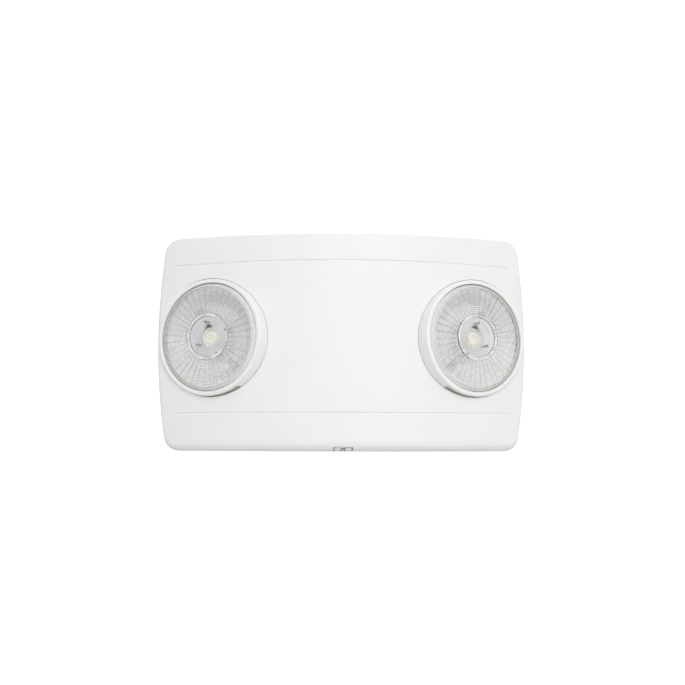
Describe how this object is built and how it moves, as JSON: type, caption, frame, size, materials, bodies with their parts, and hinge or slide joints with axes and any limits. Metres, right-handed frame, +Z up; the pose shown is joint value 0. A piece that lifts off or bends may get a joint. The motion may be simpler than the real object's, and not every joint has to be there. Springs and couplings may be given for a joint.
{
  "type": "twin head emergency light",
  "caption": "Wall-mounted emergency light: convex moulded housing with a round swivelling lamp head let into each end and a test button in its lower edge.",
  "frame": {"origin": "centre of the wall screw pattern, on the rear face of the back plate, at the height of the lamp heads", "axes": "+X to the viewer's right along the housing, +Y into the wall, +Z up"},
  "size_m": [0.267, 0.069, 0.154],
  "materials": {
    "shell_white": "fine-grained satin moulding",
    "clear_lens": "clear polished moulding",
    "inner_white": "satin moulding",
    "grey_plastic": "satin moulding",
    "black_plastic": "satin moulding",
    "blue_sleeve": "shrunk film",
    "cell_steel": "plated steel",
    "screw_steel": "plated steel",
    "aluminium": "die cast",
    "board_green": "solder mask",
    "board_white": "solder mask",
    "lamination": "varnished laminations",
    "coil_tape": "polyester tape",
    "cap_sleeve": "shrunk film",
    "relay_blue": "moulded case",
    "phosphor": "silicone over phosphor",
    "led_green": "tinted epoxy",
    "lead_black": "vinyl insulation",
    "lead_red": "vinyl insulation",
    "lead_white": "vinyl insulation",
    "felt": "felt",
    "bushing_black": "moulded rubber"
  },
  "bodies": {
    "housing": {"back_plate": "shell_white", "front_cover": "shell_white", "entry_bushing": "bushing_black", "terminal_block": "black_plastic", "terminal_screws": "screw_steel", "control_board": "board_green", "board_screws": "screw_steel", "transformer_core": "lamination", "transformer_winding": "coil_tape", "capacitors": "cap_sleeve", "relay": "relay_blue", "lead_headers": "inner_white", "test_switch": "black_plastic", "indicator_led": "led_green", "indicator_lens": "clear_lens", "button_spring": "screw_steel", "battery_cells": "cell_steel", "battery_sleeve": "blue_sleeve", "battery_retainer": "inner_white", "retainer_screws": "screw_steel", "mains_leads": "lead_black", "battery_leads": "lead_red", "bracket_screws": "screw_steel", "left_lamp_lead": "lead_white", "right_lamp_lead": "lead_white", "left_lamp_bracket": "inner_white", "right_lamp_bracket": "inner_white"},
    "left_turntable": {"left_turntable": "grey_plastic", "left_pan_washer": "felt", "left_hub_clip": "screw_steel"},
    "left_head": {"left_head_shell": "shell_white", "left_lens": "clear_lens", "left_collimator": "clear_lens", "left_lamp_tray": "inner_white", "left_led_board": "board_white", "left_led": "phosphor", "left_heat_sink": "aluminium", "left_lamp_screws": "screw_steel", "left_tilt_pins": "screw_steel", "left_head_lead": "lead_red"},
    "right_turntable": {"right_turntable": "grey_plastic", "right_pan_washer": "felt", "right_hub_clip": "screw_steel"},
    "right_head": {"right_head_shell": "shell_white", "right_lens": "clear_lens", "right_collimator": "clear_lens", "right_lamp_tray": "inner_white", "right_led_board": "board_white", "right_led": "phosphor", "right_heat_sink": "aluminium", "right_lamp_screws": "screw_steel", "right_tilt_pins": "screw_steel", "right_head_lead": "lead_red"},
    "test_button": {"test_button": "clear_lens"}
  },
  "joints": [
    {"name": "left_pan", "type": "hinge", "parent": "housing", "child": "left_turntable", "pos_m": [-0.0919, -0.0423, 0], "axis": [-0.342, -0.9397, 0], "range_deg": [-155, 155]},
    {"name": "left_tilt", "type": "hinge", "parent": "left_turntable", "child": "left_head", "pos_m": [-0.0919, -0.0423, 0], "axis": [-0.3368, 0.1226, -0.9336], "range_deg": [-24, 8]},
    {"name": "right_pan", "type": "hinge", "parent": "housing", "child": "right_turntable", "pos_m": [0.0919, -0.0423, 0], "axis": [0.342, -0.9397, 0], "range_deg": [-155, 155]},
    {"name": "right_tilt", "type": "hinge", "parent": "right_turntable", "child": "right_head", "pos_m": [0.0919, -0.0423, 0], "axis": [-0.3368, -0.1226, 0.9336], "range_deg": [-24, 8]},
    {"name": "test_press", "type": "slide", "parent": "housing", "child": "test_button", "axis": [0, 0, 1], "range_m": [0, 0.001], "stiffness_N_per_m": 300, "springref_m": -0.002, "deforming": ["button_spring"]}
  ]
}
